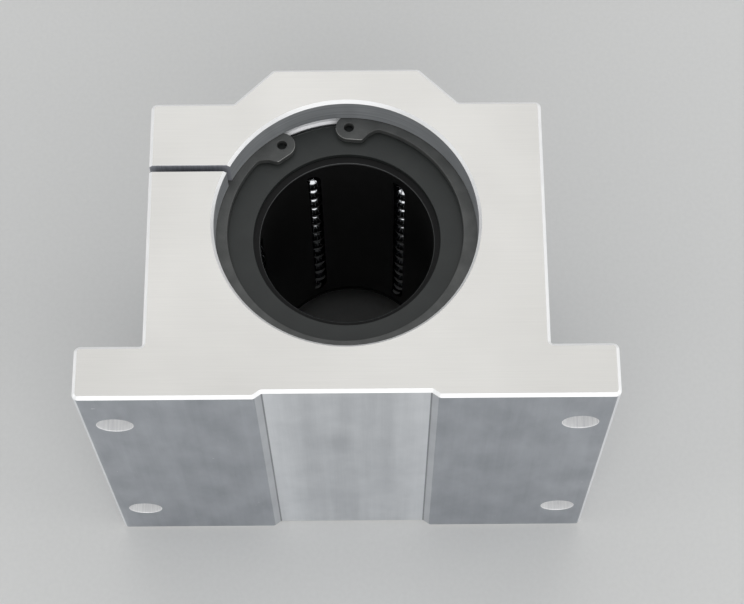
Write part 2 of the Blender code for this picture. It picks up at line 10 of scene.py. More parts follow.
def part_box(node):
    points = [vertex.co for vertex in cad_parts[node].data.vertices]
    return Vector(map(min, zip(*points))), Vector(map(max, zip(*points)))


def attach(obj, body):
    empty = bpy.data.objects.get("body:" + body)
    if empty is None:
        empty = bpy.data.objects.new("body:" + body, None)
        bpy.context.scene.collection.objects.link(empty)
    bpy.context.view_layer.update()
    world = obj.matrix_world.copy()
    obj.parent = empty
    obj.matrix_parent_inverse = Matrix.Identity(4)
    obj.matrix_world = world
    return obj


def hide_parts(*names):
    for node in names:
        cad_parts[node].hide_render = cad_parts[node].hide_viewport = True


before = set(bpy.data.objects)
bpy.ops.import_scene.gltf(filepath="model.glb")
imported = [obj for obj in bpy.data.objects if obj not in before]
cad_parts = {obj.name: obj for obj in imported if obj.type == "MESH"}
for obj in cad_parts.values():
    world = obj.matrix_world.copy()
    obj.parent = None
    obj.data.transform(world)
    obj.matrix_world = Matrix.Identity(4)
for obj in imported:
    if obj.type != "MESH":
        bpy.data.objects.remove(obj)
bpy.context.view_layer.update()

MM = 0.001
WELD = 0.0001 * MM
SHARP_ANGLE = radians(32)

# The housing's overall sizes come from the frame.
HOUSING_LOW, HOUSING_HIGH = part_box("housing")
LENGTH = HOUSING_HIGH.z
FOOT_Y = HOUSING_LOW.y
CROWN_Y = HOUSING_HIGH.y
FLANGE_X = HOUSING_HIGH.x
MID_Z = LENGTH / 2

# The housing's section.
FLANGE_THICKNESS = 15.875 * MM
BODY_X = 57.15 * MM
SHOULDER_HEIGHT = 92.075 * MM
CROWN_TOP_X = 21.45 * MM
CROWN_FOOT_X = 32.95 * MM
RELIEF_DEPTH = 1.6 * MM
RELIEF_FLOOR_X = 23.65 * MM
RELIEF_MOUTH_X = 25.9 * MM
CORNER_RADIUS = 1.8 * MM
CROWN_RADIUS = 1.2 * MM
INNER_RADIUS = 0.7 * MM
RELIEF_ROOT_RADIUS = 0.8 * MM
RELIEF_MOUTH_RADIUS = 1.3 * MM
RELIEF_REACH = 1.2 * RELIEF_DEPTH
CORNER_STEPS = 8
END_CHAMFER = 0.95 * MM
EDGE_BREAK = 0.12 * MM
EDGE_STEPS = 3
ROUND_STEPS = 4

# Its relief's lighter sides, by distance from the middle, and its smudge.
LIGHTER_FROM_X = 12.0 * MM
LIGHTEST_FROM_X = 21.0 * MM
SMUDGE_AT = (-5.0 * MM, FOOT_Y + RELIEF_DEPTH, 0.66 * LENGTH)
SMUDGE_SIZE = (9.0 * MM, 9.0 * MM, 14.0 * MM)
SMUDGE_STRENGTH = 0.36

# A face's material goes by its normal's share along Z.
END_FACE_SHARE = 0.95
END_EDGE_SHARE = 0.2
GROOVE_FLANK_SHARE = 0.6
LUG_RIM_SHARES = (0.1, 0.95)
END_RING_EDGE_SHARES = (0.75, 0.99)

# On the housing's foot it goes by the share along X.
FOOT_CORNER_SHARE = 0.4
RELIEF_ROOT_SHARE = 0.02

# The housing's bore and the grooves for its retaining rings.
AXIS_HEIGHT = 53.975 * MM
AXIS = Vector((0, FOOT_Y + AXIS_HEIGHT, MID_Z))
SEAT_RADIUS = 38.1 * MM
MOUTH_CHAMFER_RADIAL = 0.8 * MM
MOUTH_CHAMFER_DEPTH = 1.1 * MM
GROOVE_RADIUS = 40.3 * MM
GROOVE_OUTER_DEPTH = 10.0 * MM
GROOVE_INNER_DEPTH = 12.7 * MM
GROOVE_BREAK = 0.7 * MM
BORE_SEGMENTS = 256
CUT_PAST = 3.0 * MM

# Its mounting holes, clamp slot and screw hole.
BOLT_RADIUS = 5.2 * MM
BOLT_X = 66.675 * MM
BOLT_SPACING_Z = 82.55 * MM
BOLT_CHAMFER = 0.15 * MM
BOLT_SEGMENTS = 96
SLOT_ABOVE_AXIS = 16.75 * MM
SLOT_WIDTH = 1.9 * MM
SLOT_CHAMFER = 0.08 * MM
COUNTERBORE_RADIUS = 6.35 * MM
COUNTERBORE_DEPTH = 9.5 * MM
SCREW_HOLE_RADIUS = 4.27 * MM
SCREW_HOLE_DEPTH = 25.4 * MM
SCREW_SEGMENTS = 144

# The adjusting screw.
SCREW_X = -47.0 * MM
SCREW_SEAT = Vector((SCREW_X, FOOT_Y + SHOULDER_HEIGHT - COUNTERBORE_DEPTH, MID_Z))
SEAT_GAP = 0.3 * MM
HEAD_RADIUS = 5.95 * MM
HEAD_HEIGHT = 7.94 * MM
HEAD_CHAMFER = 0.6 * MM
KNURLS = 48
KNURL_DEPTH = 0.22 * MM
SHANK_RADIUS = 3.97 * MM
SHANK_LENGTH = 22.2 * MM
PLAIN_SHANK = 4.0 * MM
THREAD_PITCH = 1.41 * MM
THREAD_DEPTH = 0.8 * MM
THREAD_STEPS = 8
SOCKET_SIDES = 6
SOCKET_RADIUS = 3.67 * MM
SOCKET_DEPTH = 4.0 * MM
SOCKET_CHAMFER = 0.35 * MM

# The retaining rings. Angles run from the middle of the gap.
RING_OUTER_RADIUS = 40.0 * MM
RING_INNER_RADIUS = 34.4 * MM
RING_INNER_SHIFT = 1.4 * MM
RING_GAP_ANGLE = radians(106)
RING_EDGE = 0.22 * MM
RING_STEPS = 180
LUG_HOLE_RADIUS = 1.45 * MM
LUG_HOLE_CENTRE = 35.1 * MM
LUG_HOLE_ANGLE = radians(17.15)
LUG_HOLE_SEGMENTS = 40
LUG_RADIUS = 3.95 * MM
LUG_START_ANGLE = radians(14.6)
LUG_TIP_START = radians(40)
LUG_TIP_STEPS = 18
HEEL_CORNER = 31.15 * MM
HEEL_ANGLE = radians(24.5)
HEEL_ROUNDING = 1.2 * MM
NECK_CORNER = 33.6 * MM
NECK_ANGLE = radians(27.3)
NECK_ROUNDING = 1.8 * MM
ROOT_ANGLE = radians(31.0)
ROOT_ROUNDING = 2.5 * MM
ROOT_END_ANGLE = radians(35.0)

# The bushing.
HALF_LENGTH = 50.8 * MM
BUSHING_RADIUS = 37.8 * MM
CORE_HALF_LENGTH = 47.1 * MM
SLEEVE_INNER_RADIUS = 36.2 * MM
CAGE_OUTER_RADIUS = 35.9 * MM
CAGE_INNER_RADIUS = 25.85 * MM
TURNED_SEGMENTS = 192
MOULDED_EDGE = 0.3 * MM

# Its ball circuits.
CIRCUITS = 6
FIRST_CIRCUIT_ANGLE = radians(52.5)
BALL_RADIUS = 3.175 * MM
BALLS_IN_ROW = 12
SEEN_BALL_FINENESS = 4
HIDDEN_BALL_FINENESS = 3
ROW_RADIUS = 28.575 * MM
TURN_RADIUS = 4.565 * MM
TILT = radians(18)
TRACK_ACROSS = Vector((sin(TILT), cos(TILT), 0))
GROUP_GAP = 0.6 * MM
CHANNEL_RADIUS = 3.475 * MM
CHANNEL_TOP = 12.0 * MM
CHANNEL_STEPS = 16
TURN_STEPS = 16
ROW_HALF_LENGTH = (BALLS_IN_ROW - 1) * BALL_RADIUS
TURN_HALF_ANGLE = asin(BALL_RADIUS / TURN_RADIUS)
TURN_CENTRE_Z = (
    ROW_HALF_LENGTH
    - TURN_RADIUS * cos(TURN_HALF_ANGLE)
    + sqrt((2 * BALL_RADIUS + GROUP_GAP) ** 2 - (TURN_RADIUS - BALL_RADIUS) ** 2)
)

# Its bearing plates.
PLATE_HALF_WIDTH = 4.0 * MM
PLATE_HALF_LENGTH = 38.0 * MM
PLATE_CROWN_RADIUS = 37.7 * MM
PLATE_CROWN_DROP = 0.5 * MM
PLATE_FOOT = 31.2 * MM
PLATE_EDGE = 0.35 * MM
PLATE_ARC_STEPS = 14
PLATE_LENGTH_STEPS = 20
PLATE_GAP = 0.3 * MM
PLATE_ROCK_ROOM = 0.6 * MM
WINDOW_RADIUS = 0.8 * MM

# Its end rings and seals.
END_RING_INNER_RADIUS = 27.3 * MM
END_RING_FACE_THICKNESS = 1.7 * MM
END_RING_RIM_RADIUS = 33.3 * MM
END_RING_CHAMFER = 1.0 * MM
END_RING_ROUNDING = 0.35 * MM
END_RING_STEPS = 5
CORE_GAP = 0.3 * MM
SEAL_OUTER_RADIUS = 33.0 * MM
SEAL_THICKNESS = 1.5 * MM
SEAL_LIP_RADIUS = 25.55 * MM
SEAL_LIP_WIDTH = 0.3 * MM
SEAL_LIP_SETBACK = 0.65 * MM
SEAL_NECK_RADIUS = 28.0 * MM

# The view, from above the front end face on the mounting face's side.
LENS_MM = 97.38
SENSOR_WIDTH_MM = 36
CAMERA_PLACE = (0.00747, -0.23941, LENGTH + 0.52366)
CAMERA_TURN = (radians(22.442), radians(0.185), radians(-0.380))
CAMERA_NEAR = 0.01

# The floor, the room and its soft boxes: name, place, width and watts.
FLOOR_HALF_SIZE = 3.0
ROOM_COLOUR = (0.96, 0.98, 1.0, 1)
ROOM_STRENGTH = 0.40
SOFTBOXES = (
    ("overhead_box", (0.00, 0.80, 1.50), 1.6, 8),
    ("front_box", (0.15, -1.70, 0.95), 2.6, 24.5),
    ("right_box", (1.50, -0.10, 0.66), 1.3, 7.5),
    ("left_box", (-1.50, -0.10, 0.66), 1.3, 6),
)


# ---------------------------------------------------------------- outlines


def arc(centre, radius, start, end, steps):
    """Points on an arc, both ends included."""
    turn = (end - start) / steps
    angles = [start + i * turn for i in range(steps + 1)]
    return [(centre[0] + radius * cos(a), centre[1] + radius * sin(a)) for a in angles]


def circle(centre, radius, segments):
    """Points round a whole circle, anticlockwise."""
    return arc(centre, radius, 0, 2 * pi, segments)[:-1]


def filleted(corners, steps, closed=True):
    """Round an outline's corners. corners holds (x, y, radius) for each one."""
    points = [Vector((x, y)) for x, y, _ in corners]
    result = []
    for i, here in enumerate(points):
        radius = corners[i][2]
        if radius == 0:
            result.append(tuple(here))
            continue
        before = (here - points[i - 1]).normalized()
        after = (points[(i + 1) % len(points)] - here).normalized()
        turn = atan2(before.cross(after), before.dot(after))
        side = Vector((-before.y, before.x)) * (1 if turn > 0 else -1)
        centre = here - before * radius * tan(abs(turn) / 2) + side * radius
        for step in range(steps + 1):
            spoke = Matrix.Rotation(turn * step / steps, 2) @ -side
            result.append(tuple(centre + spoke * radius))
    return result if closed else result[1:-1]


def inset(outline, distance):
    """Move an outline to its left by a distance, keeping its corners mitred."""
    result = []
    for i, corner in enumerate(outline):
        here = Vector(corner)
        before = (here - Vector(outline[i - 1])).normalized()
        after = (Vector(outline[(i + 1) % len(outline)]) - here).normalized()
        left = Vector((-before.y - after.y, before.x + after.x))
        result.append(tuple(here + left * distance / (1 + before.dot(after))))
    return result


def softened_ends(low, high, chamfer, soft):
    """Rims (inset, z) of a prism with chamfered and softened end edges."""
    line = [
        (2 * chamfer, low, 0),
        (chamfer, low, soft),
        (0, low + chamfer, soft),
        (0, high - chamfer, soft),
        (chamfer, high, soft),
        (2 * chamfer, high, 0),
    ]
    return filleted(line, EDGE_STEPS, closed=False)


def rounded_ends(low, high, radius):
    """Rims (inset, z) of a prism with rounded end edges."""
    quarter = [pi / 2 * i / ROUND_STEPS for i in range(ROUND_STEPS + 1)]
    foot = [(radius * (1 - sin(a)), low + radius * (1 - cos(a))) for a in quarter]
    return foot + [(x, low + high - z) for x, z in reversed(foot)]


# ------------------------------------------------------------------ meshes


def finish_mesh(shape, name, materials, smooth=True):
    """Weld a bmesh, turn its faces outwards and store it as a mesh."""
    bmesh.ops.remove_doubles(shape, verts=shape.verts, dist=WELD)
    bmesh.ops.recalc_face_normals(shape, faces=shape.faces)
    mesh = bpy.data.meshes.new(name)
    shape.to_mesh(mesh)
    shape.free()
    for material in materials:
        mesh.materials.append(material)
    if smooth:
        mesh.shade_smooth()
        mesh.set_sharp_from_angle(angle=SHARP_ANGLE)
    return mesh


def skin(shape, rings, closed=False, capped=True):
    """Faces through rings of points; an open skin can be capped at its ends."""
    loops = [[shape.verts.new(point) for point in ring] for ring in rings]
    pairs = list(zip(loops, loops[1:]))
    if closed:
        pairs.append((loops[-1], loops[0]))
    for low, high in pairs:
        for i in range(len(low)):
            j = (i + 1) % len(low)
            shape.faces.new((low[i], low[j], high[j], high[i]))
    if capped and not closed:
        shape.faces.new(list(reversed(loops[0])))
        shape.faces.new(loops[-1])
    return loops


def turned(name, profile, segments, materials, closed=False):
    """Turn a profile of (radius, z) points round Z."""
    turns = [2 * pi * i / segments for i in range(segments)]
    rings = [[(r * cos(a), r * sin(a), z) for a in turns] for r, z in profile]
    shape = bmesh.new()
    skin(shape, rings, closed)
    return finish_mesh(shape, name, materials)


def prism(name, outlines, rims, materials):
    """Stack outlines along Z. rims holds (inset, z), from the lowest up."""
    shape = bmesh.new()
    ends = [[], []]
    for outline in outlines:
        rings = [[(x, y, z) for x, y in inset(outline, depth)] for depth, z in rims]
        loops = skin(shape, rings, capped=len(outlines) == 1)
        ends[0].append(loops[0])
        ends[1].append(loops[-1])
    if len(outlines) > 1:
        for loops in ends:
            edges = [
                shape.edges.get((loop[i - 1], loop[i])) for loop in loops for i in range(len(loop))
            ]
            bmesh.ops.triangle_fill(shape, use_beauty=True, edges=edges)
    return finish_mesh(shape, name, materials)


def place(mesh, matrix):
    """Move a mesh into the row frame."""
    mesh.transform(matrix)
    return mesh


def along_y(point):
    """The frame at a point whose Z axis is the row frame's Y."""
    return Matrix.Translation(point) @ Matrix.Rotation(-pi / 2, 4, "X")


def cut(name, mesh, cutters):
    """Cut meshes out of a mesh; each cut face keeps its cutter's material."""
    solid = bpy.data.objects.new(name, mesh)
    bpy.context.scene.collection.objects.link(solid)
    helpers = []
    for cutter_mesh in cutters:
        cutter = bpy.data.objects.new("cutter", cutter_mesh)
        bpy.context.scene.collection.objects.link(cutter)
        helpers.append(cutter)
        boolean = solid.modifiers.new("cut", "BOOLEAN")
        boolean.operation = "DIFFERENCE"
        boolean.solver = "EXACT"
        boolean.material_mode = "TRANSFER"
        boolean.object = cutter
    bpy.context.view_layer.update()
    graph = bpy.context.evaluated_depsgraph_get()
    result = bpy.data.meshes.new_from_object(solid.evaluated_get(graph))
    for helper in [solid] + helpers:
        bpy.data.objects.remove(helper, do_unlink=True)
    result.name = name
    result.shade_smooth()
    result.set_sharp_from_angle(angle=SHARP_ANGLE)
    return result


def add_piece(node, mesh, body="housing_assembly"):
    """Show a mesh in place of a CAD node."""
    piece = bpy.data.objects.new(node + "_fine", mesh)
    bpy.context.scene.collection.objects.link(piece)
    normals = piece.modifiers.new("even_shading", "WEIGHTED_NORMAL")
    normals.keep_sharp = True
    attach(piece, body)
    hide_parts(node)


# --------------------------------------------------------------- materials


class Finish:
    """A Principled material, and a short way to wire nodes into it."""

    def __init__(self, name, metallic, **settings):
        self.material = bpy.data.materials.new(name)
        self.material.use_nodes = True
        self.tree = self.material.node_tree
        self.shader = self.tree.nodes["Principled BSDF"]
        self.shader.inputs["Metallic"].default_value = metallic
        for socket, value in settings.items():
            self.shader.inputs[socket.replace("_", " ")].default_value = value
        self.place = self.node("ShaderNodeTexCoord").outputs["Object"]

    def node(self, kind, inputs=None, **settings):
        """Add a node; an input is a value or another node's output."""
        node = self.tree.nodes.new(kind)
        for name, value in settings.items():
            setattr(node, name, value)
        for name, value in (inputs or {}).items():
            if isinstance(value, bpy.types.NodeSocket):
                self.tree.links.new(value, node.inputs[name])
            else:
                node.inputs[name].default_value = value
        return node

    def noise(self, size, stretch=(1, 1, 1), detail=3.0):
        """Noise whose features have a size in metres, longer where stretch is over 1."""
        scale = tuple(1 / (size * s) for s in stretch)
        mapping = self.node("ShaderNodeMapping", {"Vector": self.place, "Scale": scale})
        noise = self.node(
            "ShaderNodeTexNoise", {"Vector": mapping.outputs["Vector"], "Scale": 1.0, "Detail": detail}
        )
        return noise.outputs["Fac"]

    def remap(self, value, start, end, low=0.3, high=0.7):
        """Turn a value from low to high into one from start to end."""
        node = self.node(
            "ShaderNodeMapRange",
            {"Value": value, "From Min": low, "From Max": high, "To Min": start, "To Max": end},
        )
        return node.outputs["Result"]

    def total(self, first, second, operation="ADD"):
        """Two values joined by a sum, a product or another operation."""
        return self.node("ShaderNodeMath", {0: first, 1: second}, operation=operation).outputs[0]

    def blend(self, share, first, second):
        """A colour between two others."""
        node = self.node("ShaderNodeMix", {0: share}, data_type="RGBA")
        for index, colour in ((6, first), (7, second)):
            if isinstance(colour, bpy.types.NodeSocket):
                self.tree.links.new(colour, node.inputs[index])
            else:
                node.inputs[index].default_value = (*colour, 1)
        return node.outputs[2]

    def surface(self, colour, roughness, height=None, depth=1e-6):
        """Wire the colour, the roughness and a relief this deep."""
        self.tree.links.new(colour, self.shader.inputs["Base Color"])
        self.tree.links.new(roughness, self.shader.inputs["Roughness"])
        if height is not None:
            bump = self.node("ShaderNodeBump", {"Height": height, "Distance": depth, "Strength": 1.0})
            self.tree.links.new(bump.outputs["Normal"], self.shader.inputs["Normal"])
        return self.material


def milled_aluminium():
    """End faces: pale and matt, with a faint lay and soft clouds."""
    finish = Finish("milled_aluminium_finish", 0.9)
    clouds = finish.noise(38 * MM, detail=3)
    lay = finish.noise(0.35 * MM, stretch=(60, 1, 1), detail=2)
    shade = finish.total(finish.remap(clouds, 0, 0.6), finish.remap(lay, 0, 0.4))
    colour = finish.blend(shade, (0.67, 0.658, 0.632), (0.72, 0.708, 0.68))
    roughness = finish.remap(clouds, 0.50, 0.46)
    return finish.surface(colour, roughness, lay, 3e-6)


def chamfered_aluminium():
    """Machined edges, smoother than the faces; their near-white, mostly diffuse tone is a painted
    reflection of the bright surroundings.
    """
    finish = Finish("chamfer_painted_reflection", 0.3)
    clouds = finish.noise(4 * MM)
    colour = finish.blend(finish.remap(clouds, 0, 1), (0.95, 0.95, 0.95), (0.99, 0.99, 0.985))
    return finish.surface(colour, finish.remap(clouds, 0.34, 0.42), clouds, 4e-6)


def extruded_aluminium(name, dark, light, roughness, metallic=1.0):
    """Drawn surfaces between two given tones, which carry painted light and shade: cloudy, with faint
    streaks along the extrusion and a few nicks.
    """
    finish = Finish(name, metallic)
    clouds = finish.noise(9 * MM, stretch=(1, 1, 2), detail=5)
    broad = finish.noise(2.4 * MM, stretch=(1, 1, 40), detail=2)
    fine = finish.noise(0.4 * MM, stretch=(1, 1, 60), detail=2)
    lines = finish.total(finish.remap(broad, 0, 0.2), finish.remap(fine, 0, 0.1))
    shade = finish.total(finish.remap(clouds, 0, 0.7), lines)
    nicks = finish.remap(finish.noise(1.6 * MM, detail=1), 0, 1, 0.80, 0.82)
    colour = finish.blend(nicks, finish.blend(shade, dark, light), (0.66, 0.67, 0.69))
    relief = finish.total(fine, finish.total(clouds, 2.0, "MULTIPLY"))
    return finish.surface(colour, finish.remap(clouds, roughness + 0.05, roughness), relief, 4e-6)


def relief_aluminium():
    """The relief's floor: soft streaks, lighter along both sides, and one faint smudge."""
    finish = Finish("relief_finish", 1.0)
    clouds = finish.noise(9 * MM, stretch=(1, 1, 1.5), detail=4)
    broad = finish.noise(4 * MM, stretch=(1, 1, 30), detail=1)
    fine = finish.noise(0.5 * MM, stretch=(1, 1, 50), detail=2)
    across = finish.node("ShaderNodeSeparateXYZ", {"Vector": finish.place}).outputs["X"]
    from_middle = finish.total(across, 0.0, "ABSOLUTE")
    sides = finish.remap(from_middle, 0, 0.35, LIGHTER_FROM_X, LIGHTEST_FROM_X)
    scale = tuple(1 / size for size in SMUDGE_SIZE)
    shift = tuple(-at / size for at, size in zip(SMUDGE_AT, SMUDGE_SIZE))
    spot = finish.node("ShaderNodeMapping", {"Vector": finish.place, "Scale": scale, "Location": shift})
    smudge = finish.node(
        "ShaderNodeTexGradient", {"Vector": spot.outputs["Vector"]}, gradient_type="SPHERICAL"
    )
    streaks = finish.total(finish.remap(broad, 0, 0.25), finish.remap(fine, 0, 0.08))
    shade = finish.total(finish.total(finish.remap(clouds, 0.12, 0.36), streaks), sides)
    smear = finish.total(smudge.outputs["Fac"], SMUDGE_STRENGTH, "MULTIPLY")
    shade = finish.total(shade, smear, "SUBTRACT")
    colour = finish.blend(shade, (0.55, 0.57, 0.60), (0.88, 0.90, 0.93))
    return finish.surface(colour, finish.remap(clouds, 0.40, 0.34), fine, 3e-6)


def bored_aluminium():
    """The bore's wall and grooves, with turning lines round the bore."""
    finish = Finish("bored_aluminium_finish", 0.7)
    rings = finish.noise(0.5 * MM, stretch=(60, 60, 1), detail=3)
    clouds = finish.noise(8 * MM)
    colour = finish.blend(finish.remap(rings, 0, 1), (0.50, 0.52, 0.54), (0.66, 0.68, 0.70))
    return finish.surface(colour, finish.remap(clouds, 0.46, 0.38), rings, 5e-6)


def grooved_aluminium():
    """The grooves' flanks and broken edges, turned and matt; their near-white tone is a painted
    highlight.
    """
    finish = Finish("groove_painted_highlight", 0.1)
    rings = finish.noise(0.4 * MM, detail=3)
    colour = finish.blend(finish.remap(rings, 0, 1), (0.94, 0.94, 0.95), (1.0, 1.0, 1.0))
    return finish.surface(colour, finish.remap(rings, 0.48, 0.40), rings, 4e-6)


def drilled_aluminium():
    """Drilled walls, streaked along the holes; their bright, mostly diffuse tone is a painted
    reflection of the lamps.
    """
    finish = Finish("drilled_painted_reflection", 0.15)
    streaks = finish.noise(0.5 * MM, stretch=(1, 25, 1), detail=3)
    colour = finish.blend(finish.remap(streaks, 0, 1), (0.80, 0.80, 0.81), (0.98, 0.98, 0.975))
    return finish.surface(colour, finish.remap(streaks, 0.38, 0.28), streaks, 1.2e-5)


def sawn_aluminium():
    """The clamp slot's walls, dull and streaked along the slot."""
    finish = Finish("sawn_aluminium_finish", 0.4)
    streaks = finish.noise(0.4 * MM, stretch=(1, 1, 30), detail=3)
    colour = finish.blend(finish.remap(streaks, 0, 1), (0.34, 0.35, 0.38), (0.46, 0.47, 0.51))
    return finish.surface(colour, finish.remap(streaks, 0.50, 0.40), streaks, 8e-6)


def steel(name, dark, light, roughness, grain, depth, metallic=1.0):
    """A steel finish with a fine grain."""
    finish = Finish(name, metallic)
    clouds = finish.noise(5 * MM, detail=4)
    fine = finish.noise(grain, detail=3)
    shade = finish.total(finish.remap(clouds, 0, 0.6), finish.remap(fine, 0, 0.4))
    colour = finish.blend(shade, dark, light)
    return finish.surface(colour, finish.remap(clouds, roughness + 0.05, roughness), fine, depth)


def polymer(name, dark, light, roughness, depth, **settings):
    """Moulded plastic or rubber with a fine spark-eroded grain."""
    finish = Finish(name, 0.0, **settings)
    clouds = finish.noise(7 * MM, detail=4)
    grain = finish.noise(0.25 * MM, detail=2)
    shade = finish.total(finish.remap(clouds, 0, 0.7), finish.remap(grain, 0, 0.3))
    colour = finish.blend(shade, dark, light)
    return finish.surface(colour, finish.remap(grain, roughness + 0.06, roughness), grain, depth)


def floor_paper():
    """The plain pale floor."""
    finish = Finish("floor_paper", 0.0)
    fibres = finish.noise(1.5 * MM, detail=4)
    colour = finish.blend(finish.remap(fibres, 0, 1), (0.63, 0.63, 0.62), (0.65, 0.65, 0.64))
    return finish.surface(colour, finish.remap(fibres, 0.85, 0.80))


# ----------------------------------------------------------------- housing


def housing_outline():
    """The housing's section, anticlockwise from the relief channel."""
    relief_y = FOOT_Y + RELIEF_DEPTH
    flange_y = FOOT_Y + FLANGE_THICKNESS
    shoulder_y = FOOT_Y + SHOULDER_HEIGHT
    right = [
        (RELIEF_FLOOR_X, relief_y, RELIEF_ROOT_RADIUS),
        (RELIEF_MOUTH_X, FOOT_Y, RELIEF_MOUTH_RADIUS),
        (FLANGE_X, FOOT_Y, CORNER_RADIUS),
        (FLANGE_X, flange_y, CORNER_RADIUS),
        (BODY_X, flange_y, INNER_RADIUS),
        (BODY_X, shoulder_y, CORNER_RADIUS),
        (CROWN_FOOT_X, shoulder_y, INNER_RADIUS),
        (CROWN_TOP_X, CROWN_Y, CROWN_RADIUS),
    ]
    left = [(-x, y, radius) for x, y, radius in reversed(right)]
    return filleted(right + left, CORNER_STEPS)


def bore_profile():
    """The bore's half-profile along its axis, from the rear to the front."""
    face = LENGTH / 2
    inner = face - GROOVE_INNER_DEPTH
    outer = face - GROOVE_OUTER_DEPTH
    mouth = SEAT_RADIUS + MOUTH_CHAMFER_RADIAL
    flare = MOUTH_CHAMFER_RADIAL / MOUTH_CHAMFER_DEPTH
    front = [
        (SEAT_RADIUS, inner - GROOVE_BREAK, 0),
        (SEAT_RADIUS + GROOVE_BREAK, inner, 0),
        (GROOVE_RADIUS, inner, 0),
        (GROOVE_RADIUS, outer, 0),
        (SEAT_RADIUS, outer, 0),
        (SEAT_RADIUS, face - MOUTH_CHAMFER_DEPTH, EDGE_BREAK),
        (mouth, face, 0),
        (mouth + flare * CUT_PAST, face + CUT_PAST, 0),
        (0, face + CUT_PAST, 0),
    ]
    rear = [(radius, -z, soft) for radius, z, soft in reversed(front)]
    return filleted(rear + front, EDGE_STEPS)


def flared_rims(low, high, chamfer):
    """Rims of a cutter that runs past two faces and breaks their edges."""
    return [
        (-chamfer - CUT_PAST, low - CUT_PAST),
        (-chamfer, low),
        (0, low + chamfer),
        (0, high - chamfer),
        (-chamfer, high),
        (-chamfer - CUT_PAST, high + CUT_PAST),
    ]


def slot_outline():
    """The clamp slot across the bore's axis, flared at the housing's side."""
    half = SLOT_WIDTH / 2
    side = -BODY_X
    wide = half + SLOT_CHAMFER
    past = SLOT_CHAMFER + CUT_PAST
    return [
        (0, -half),
        (0, half),
        (side + SLOT_CHAMFER, half),
        (side, wide),
        (side - CUT_PAST, half + past),
        (side - CUT_PAST, -half - past),
        (side, -wide),
        (side + SLOT_CHAMFER, -half),
    ]


def screw_hole_profile():
    """The counterbored hole, from its bottom up; z = 0 is the screw's seat."""
    top = COUNTERBORE_DEPTH
    chamfer = BOLT_CHAMFER
    return [
        (0, -SCREW_HOLE_DEPTH),
        (SCREW_HOLE_RADIUS, -SCREW_HOLE_DEPTH),
        (SCREW_HOLE_RADIUS, -chamfer),
        (SCREW_HOLE_RADIUS + chamfer, 0),
        (COUNTERBORE_RADIUS, 0),
        (COUNTERBORE_RADIUS, top - chamfer),
        (COUNTERBORE_RADIUS + chamfer, top),
        (COUNTERBORE_RADIUS + chamfer + CUT_PAST, top + CUT_PAST),
        (0, top + CUT_PAST),
    ]


def paint_housing(mesh):
    """Give each face of the uncut housing its material, by where it faces."""
    end, edge, side, floor, ramp, root, corner = range(7)
    for face in mesh.polygons:
        along = abs(face.normal.z)
        sideways = abs(face.normal.x)
        from_middle = abs(face.center.x)
        low = face.center.y < FOOT_Y + RELIEF_REACH
        if along > END_FACE_SHARE:
            face.material_index = end
        # End chamfers: painted reflection.
        elif along > END_EDGE_SHARE:
            face.material_index = edge
        # Outer foot corners: painted highlight.
        elif low and from_middle > FLANGE_X - CORNER_RADIUS and sideways > FOOT_CORNER_SHARE:
            face.material_index = corner
        # Pads and sides: the darker tone with painted shade.
        elif not low or from_middle > RELIEF_MOUTH_X - RELIEF_ROOT_RADIUS / 2:
            face.material_index = side
        # Ramps: lighter tone, painted light.
        elif from_middle > RELIEF_FLOOR_X + RELIEF_ROOT_RADIUS / 2:
            face.material_index = ramp
        # Root fillets: painted shade in the crease.
        elif sideways > RELIEF_ROOT_SHARE:
            face.material_index = root
        else:
            face.material_index = floor


def paint_bore(mesh):
    """Give the cut bore's mouth chamfers and groove flanks their own materials."""
    wall, chamfer, flank = range(3)
    for face in mesh.polygons:
        # Mouth chamfers: painted reflection.
        if abs(face.center.z) > LENGTH / 2 - MOUTH_CHAMFER_DEPTH:
            face.material_index = chamfer
        # Groove flanks and breaks: painted highlight.
        elif abs(face.normal.z) > GROOVE_FLANK_SHARE:
            face.material_index = flank
        else:
            face.material_index = wall


